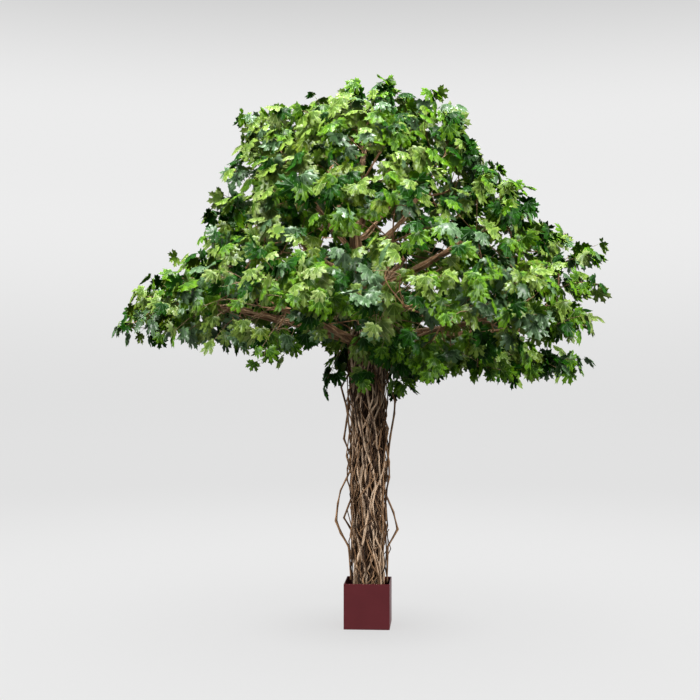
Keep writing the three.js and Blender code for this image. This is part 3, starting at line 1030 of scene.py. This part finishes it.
class MAPLE_OT_boughs(Operator):
    """Covers the leader and the boughs with bark in relief, and winds thin lianas along them"""

    bl_idname = "maple.boughs"
    bl_label = "Boughs"

    def execute(self, context):
        settings = context.scene.maple_boughs
        plan = crown_plan(context)
        # The bark is drawn in under the lianas, which make up the rest of a bough's thickness.
        sides, drawn_in = 12, 0.84
        limbs = [resample(line, drawn_in * radii, step=0.011) for line, radii in plan.limbs.values()]
        mesh = tubes("barked_boughs", limbs, sides)
        place = rows_of(mesh.attributes["straightened"].data, "vector")
        middles = np.concatenate([np.repeat(points, sides, axis=0) for points, _ in limbs])
        for v, spot, middle in zip(mesh.vertices, place, middles):
            ridges = noise.noise(Vector(spot) * Vector((120, 120, 16)))
            lumps = noise.noise(Vector(spot) * Vector((30, 30, 9)) + Vector((7, 0, 0)))
            away = (v.co - Vector(middle)).normalized()
            relief = min(settings.ridge, 0.12 * math.hypot(spot[0], spot[1]))
            v.co += away * relief * (1.0 * ridges + 1.1 * lumps)
        furrow = shade(settings.bark, 0.35)
        bark = bark_material("Red-brown bark", settings.bark, furrow, fibres=190.0, depth=0.003)
        piece(mesh, [bark], ["leader", *BOUGHS])

        pick = np.random.default_rng(WOUND_SEED)
        strands = []
        for line, radii in plan.limbs.values():
            points, radii = resample(line, radii, LIANA_STEP)
            along = unit(np.gradient(points, axis=0))
            side = unit(np.cross(along, np.eye(3)[np.abs(along.mean(0)).argmin()]))
            raised = np.cross(side, along)
            t = np.linspace(0, 1, len(points))
            for _ in range(settings.wound):
                angle = pick.uniform(*ANY_ANGLE) + pick.uniform(-5, 5) * t
                angle = angle + 0.8 * np.sin(9 * t + pick.uniform(*ANY_ANGLE))
                off = (radii * pick.uniform(0.75, 1.15))[:, None]
                around = off * (np.cos(angle)[:, None] * side + np.sin(angle)[:, None] * raised)
                wound, knots = kinked(points + around, WOUND_KINK, pick)
                thick = np.clip(0.34 * radii, 0.0026, 0.0080) * pick.uniform(0.6, 1.1)
                strands.append((wound, thick * np.where(knots, 1.2, 1.0)))
        look = {"fibres": 320.0, "depth": 0.0015}
        bark = bark_material("Bough liana bark", settings.strand, settings.twig, **look)
        piece(tubes("bough_lianas", strands, sides=6), [bark], ["leader", *BOUGHS])
        return {"FINISHED"}


class MAPLE_OT_twigs(Operator):
    """Grows the branches and twigs that carry the sprays"""

    bl_idname = "maple.twigs"
    bl_label = "Branches and twigs"

    def execute(self, context):
        settings = context.scene.maple_boughs
        plan = crown_plan(context)
        look = {"fibres": 260.0, "depth": 0.0015}
        bark = bark_material("Branch bark", settings.bark, settings.twig, **look)
        piece(tubes("branches", plan.branches, sides=6), [bark])
        bark = material("Twig bark", settings.twig, roughness=0.7)
        piece(tubes("twigs", plan.twigs, sides=4), [bark])
        return {"FINISHED"}


# ---------------------------------------------------------------- leaves

# The right-hand edge of a leaf one unit long, as (across, along) from its stalk. A lobe is its tip, then its
# edge above the vein up to the tip, then its edge below the vein from the tip down, with teeth and notches.
STALK = (0.0, 0.0)
MIDDLE_LOBE = ((0.0, 1.0), [], [(0.08, 0.84), (0.23, 0.78), (0.16, 0.64), (0.17, 0.48)])
UPPER_LOBE = (
    (0.62, 0.80),
    [(0.17, 0.48), (0.31, 0.62), (0.38, 0.77), (0.45, 0.70)],
    [(0.56, 0.60), (0.66, 0.49), (0.50, 0.39), (0.38, 0.27)],
)
LOWER_LOBE = (
    (0.74, 0.13),
    [(0.38, 0.27), (0.53, 0.32), (0.58, 0.23)],
    [(0.57, 0.05), (0.54, -0.10), (0.38, -0.07), (0.25, -0.19), (0.05, -0.08)],
)
# Where a vein bends, as a share of its length, and half the width of its raised strip.
VEIN_BEND, VEIN_HALF = 0.52, 0.018
# The kinds of leaf: how far each is folded along its veins, droops, is curled and is pleated.
LEAF_KINDS = (
    (0.50, 0.18, 0.12, 0.046),
    (0.62, 0.32, -0.16, 0.050),
    (0.44, 0.46, 0.0, 0.044),
    (0.76, 0.12, 0.20, 0.046),
)
STALK_RADIUS = 0.0011


def leaf_template(fold, droop, curl, pleat):
    """One maple leaf, creased along its veins. Its material numbers are 0 for lobes, 1 middle, 2 veins."""
    bm = bmesh.new()
    lobes = [(*lobe, side) for side in (1, -1) for lobe in (MIDDLE_LOBE, UPPER_LOBE, LOWER_LOBE)]
    tips = [(side * tip[0], tip[1]) for tip, _, _, side in lobes if tip[0] or side > 0]
    ways = [np.array(tip) / np.hypot(*tip) for tip in tips]

    def height(x, y):
        """The blade rises to each vein, and sags towards its tips."""
        off = min(math.hypot(*((x, y) - max(w @ (x, y), 0) * w)) for w in ways)
        return -fold * off - droop * math.hypot(x, y) ** 2 + curl * x * y + 0.03 * math.sin(9 * x + 5 * y)

    def corner(x, y, lift=0.0):
        return bm.verts.new((x, y, height(x, y) + lift))

    def triangle(points, side, finish):
        verts = [corner(side * x, y, lift) for x, y, lift in points]
        bm.faces.new(verts[::-1] if side > 0 else verts).material_index = finish

    for tip, above, below, side in lobes:
        bend = (VEIN_BEND * tip[0], VEIN_BEND * tip[1], 0.0)
        for edge, first in ((above, 0), (below, 1)):
            if not edge:
                continue
            # Teeth stand up and notches down, so that the lobe is pleated from the bend of its vein.
            lifts = [pleat * (1 if (k + first) % 2 == 0 else -1) for k in range(len(edge))]
            lifts[-1 if first else 0] = 0.0
            rim = [(x, y, lift) for (x, y), lift in zip(edge, lifts)]
            rim = [(*tip, 0.0), *rim] if first else [*rim, (*tip, 0.0)]
            for start, end in zip(rim, rim[1:]):
                triangle((bend, start, end), side, 0)
            foot = (*STALK, 0.0)
            triangle((foot, bend, rim[-1]) if first else (foot, rim[0], bend), side, 1)
    bmesh.ops.remove_doubles(bm, verts=bm.verts, dist=1e-5)
    for way, tip in zip(ways, tips):
        beside = VEIN_HALF * np.array((-way[1], way[0]))
        bend = VEIN_BEND * np.array(tip)
        foot, end = corner(*STALK, 0.012), corner(0.93 * tip[0], 0.93 * tip[1], 0.010)
        left, right = corner(*(bend + beside), 0.016), corner(*(bend - beside), 0.016)
        for rib in ((foot, right, left), (right, end, left)):
            bm.faces.new(rib).material_index = 2
    return arrays_of(bm)


def stalk_template():
    """A thin stalk one unit long along +Z: corners, triangles and material numbers."""
    bm = bmesh.new()
    bmesh.ops.create_cone(bm, segments=3, radius1=1.0, radius2=0.75, depth=1.0, cap_ends=False)
    bmesh.ops.translate(bm, vec=(0, 0, 0.5), verts=bm.verts)
    bmesh.ops.triangulate(bm, faces=bm.faces)
    return arrays_of(bm)


class MAPLE_OT_leaves(Operator):
    """Sets every leaf on its stalk, in one piece for each tint"""

    bl_idname = "maple.leaves"
    bl_label = "Leaves"

    def execute(self, context):
        gloss = context.scene.maple_crown.gloss
        leaves = crown_plan(context).leaves
        pick = np.random.default_rng(LEAF_SEED)
        shapes = [leaf_template(*kind) for kind in LEAF_KINDS]
        which = pick.integers(0, len(shapes), len(leaves["tint"]))
        for number, (tint, (lobe, middle, sheen, _)) in enumerate(TINTS.items()):
            batches = []
            for k, shape in enumerate(shapes):
                mine = (leaves["tint"] == number) & (which == k)
                batches.append((shape, *(leaves[key][mine] for key in ("blade", "size", "top"))))
            rib = tuple(1.4 * c + 0.14 * lobe[1] for c in lobe)
            finishes = [
                material(f"Maple {tint} lobes", lobe, gloss, sheen),
                material(f"Maple {tint} middle", middle, gloss, sheen),
                material(f"Maple {tint} veins", rib, roughness=0.6),
            ]
            piece(copies(f"leaves_{tint}", batches), finishes, LEAF_MASSES)

        run = leaves["top"] - leaves["foot"]
        z = unit(run)
        # Any way in which no stalk points will do to find its sides.
        x = unit(np.cross(z, (0.3, 0.5, 0.81)))
        frames = np.stack([STALK_RADIUS * x, STALK_RADIUS * np.cross(z, x), run], axis=1)
        stalks = copies("leaf_stalks", [(stalk_template(), frames, np.ones(len(run)), leaves["foot"])])
        green = material("Leaf stalk", context.scene.maple_boughs.stalk, roughness=0.6)
        piece(stalks, [green])
        return {"FINISHED"}


# ---------------------------------------------------------------- stage

# Each soft light: its name, its power, how wide it is, where it hangs and what it points at.
SOFTBOXES = (
    ("Overhead", 960, 2.2, (-0.2, -1.3, 7.4), (0, 0, 1.9)),
    ("Left", 970, 2.4, (-7.6, -3.8, 4.6), (0, 0, 1.3)),
    ("Right", 1060, 2.4, (7.6, -3.4, 4.6), (0, 0, 1.3)),
)
# The bowl of paper: its flat floor's radius, the radius of its bend, and its height.
FLOOR_RADIUS, BEND, BOWL_HEIGHT = 15.0, 5.0, 11.0
# The camera: the width of its sensor in millimetres, its sideways shift, and how far it sees.
SENSOR, SIDEWAYS_SHIFT, FARTHEST = 36.0, -0.0257, 200.0


def studio_material(settings):
    """Pale paper that glows by itself, as painted light. Its tone is painted light and shade: lightest low on
    the wall, darker far off and high up, with a painted shadow round the pot.
    """
    made = material("Pale studio", settings.paper, 0.9, specular=0.0)
    tree = made.node_tree
    place = output(tree, "TexCoord", "Object", {})
    flat = output(tree, "VectorMath", "Vector", {0: place, 1: (1, 1, 0)}, operation="MULTIPLY")
    away = output(tree, "VectorMath", "Value", {0: flat}, operation="LENGTH")
    height = output(tree, "SeparateXYZ", "Z", {"Vector": place})
    # The tone is painted light and shade: lighter near the tree and darker far off.
    tone = between(tree, away, 1.5, 8.0, 1.0, 0.90, smooth=True)
    # Then a painted shadow round the pot, painted light up the wall, and painted shade high up.
    for value, low, high, start, end in (
        (away, 0.15, 0.75, 0.955, 1.012),
        (height, 0.2, 4.5, 1.0, 1.20),
        (height, 6.2, 10.8, 1.0, 0.62),
    ):
        tone = worked(tree, "MULTIPLY", tone, between(tree, value, low, high, start, end, smooth=True))
    inputs = {
        "Base Color": scaled(tree, tuple(settings.paper), tone),
        # The paper glows by itself in this tone, as painted light in place of a lamp.
        "Emission Color": scaled(tree, (1.0, 1.0, 1.0), tone),
        "Emission Strength": settings.painted_glow,
    }
    return surface(made, inputs)


def sky(settings):
    """Even light, strongest from straight above and weakest from below."""
    world = bpy.data.worlds.new("Soft studio")
    world.use_nodes = True
    tree = world.node_tree
    way = output(tree, "TexCoord", "Generated", {})
    rise = output(tree, "SeparateXYZ", "Z", {"Vector": way})
    strength = between(tree, rise, -1.0, 1.0, settings.nadir, settings.zenith)
    fill(tree, tree.nodes["Background"], {"Color": (1, 1, 1), "Strength": strength})
    return world


def softbox(name, power, size, place, towards, passes_by):
    """A round soft light. What it passes by gets none of it."""
    light = bpy.data.lights.new(name, "AREA")
    light.shape = "DISK"
    light.size = size
    light.energy = power
    lamp = in_scene(name, light)
    lamp.location = place
    lamp.rotation_euler = (Vector(towards) - Vector(place)).to_track_quat("-Z", "Y").to_euler()
    group = bpy.data.collections.new(f"{name} passes by")
    group.objects.link(passes_by)
    lamp.light_linking.receiver_collection = group
    group.collection_objects[0].light_linking.link_state = "EXCLUDE"


class MAPLE_OT_stage(Operator):
    """Sets the pale studio, its soft light and the camera"""

    bl_idname = "maple.stage"
    bl_label = "Stage"

    def execute(self, context):
        settings = context.scene.maple_stage
        scene = context.scene
        bm = bmesh.new()
        profile = [(0.0, 0.0)]
        for a in np.linspace(0, math.pi / 2, 13):
            profile.append((FLOOR_RADIUS + BEND * math.sin(a), BEND - BEND * math.cos(a)))
        profile.append((FLOOR_RADIUS + BEND, BOWL_HEIGHT))
        line = [bm.verts.new((r, 0, z)) for r, z in profile]
        edges = [bm.edges.new(pair) for pair in zip(line, line[1:])]
        full_turn = {"axis": (0, 0, 1), "cent": (0, 0, 0), "steps": 96, "angle": TURN, "use_merge": True}
        bmesh.ops.spin(bm, geom=line + edges, **full_turn)
        bmesh.ops.remove_doubles(bm, verts=bm.verts, dist=1e-4)
        bmesh.ops.recalc_face_normals(bm, faces=bm.faces)
        bowl = in_scene("studio_bowl", mesh_of(bm, "studio_bowl"))
        bowl.data.materials.append(studio_material(settings))
        bowl.visible_diffuse = False
        bowl.visible_glossy = False
        scene.world = sky(settings)
        for box in SOFTBOXES:
            softbox(*box, passes_by=bowl)

        angle, far = settings.azimuth, settings.distance
        camera = bpy.data.cameras.new("Front camera")
        camera.sensor_width = SENSOR
        camera.lens = SENSOR / 2 / math.tan(settings.view / 2)
        camera.shift_x = SIDEWAYS_SHIFT
        camera.clip_end = FARTHEST
        eye = in_scene("Front camera", camera)
        eye.location = (far * math.sin(angle), -far * math.cos(angle), settings.height)
        eye.rotation_euler = (math.radians(90), 0, angle)
        scene.camera = eye
        scene.view_settings.view_transform = "Standard"
        return {"FINISHED"}


# ---------------------------------------------------------------- panel


class MAPLE_PT_tree(Panel):
    """The tree's pieces, each with its settings"""

    bl_label = "Maple Tree"
    bl_idname = "MAPLE_PT_tree"
    bl_space_type = "VIEW_3D"
    bl_region_type = "UI"
    bl_category = "Maple Tree"

    def draw(self, context):
        for title, name, settings, operators in BOXES:
            box = self.layout.box()
            box.label(text=title)
            for key in settings.__annotations__:
                box.prop(getattr(context.scene, name), key)
            for operator in operators:
                box.operator(operator.bl_idname)


# The panel's boxes: a title, the name and class of the settings, and the operators.
BOXES = (
    ("Pot", "maple_pot", PotSettings, [MAPLE_OT_pot, MAPLE_OT_filling]),
    ("Lianas", "maple_lianas", LianaSettings, [MAPLE_OT_lianas]),
    ("Boughs", "maple_boughs", BoughSettings, [MAPLE_OT_boughs, MAPLE_OT_twigs]),
    ("Crown", "maple_crown", CrownSettings, [MAPLE_OT_leaves]),
    ("Stage", "maple_stage", StageSettings, [MAPLE_OT_stage]),
)


def register():
    for _, name, settings, operators in BOXES:
        for cls in (settings, *operators):
            bpy.utils.register_class(cls)
        setattr(bpy.types.Scene, name, PointerProperty(type=settings))
    bpy.utils.register_class(MAPLE_PT_tree)


def unregister():
    bpy.utils.unregister_class(MAPLE_PT_tree)
    for _, name, settings, operators in reversed(BOXES):
        delattr(bpy.types.Scene, name)
        for cls in (*operators, settings):
            bpy.utils.unregister_class(cls)


def main():
    register()
    bpy.ops.maple.stage()
    bpy.ops.maple.pot()
    bpy.ops.maple.filling()
    bpy.ops.maple.lianas()
    bpy.ops.maple.boughs()
    bpy.ops.maple.twigs()
    bpy.ops.maple.leaves()


if __name__ == "__main__":
    main()
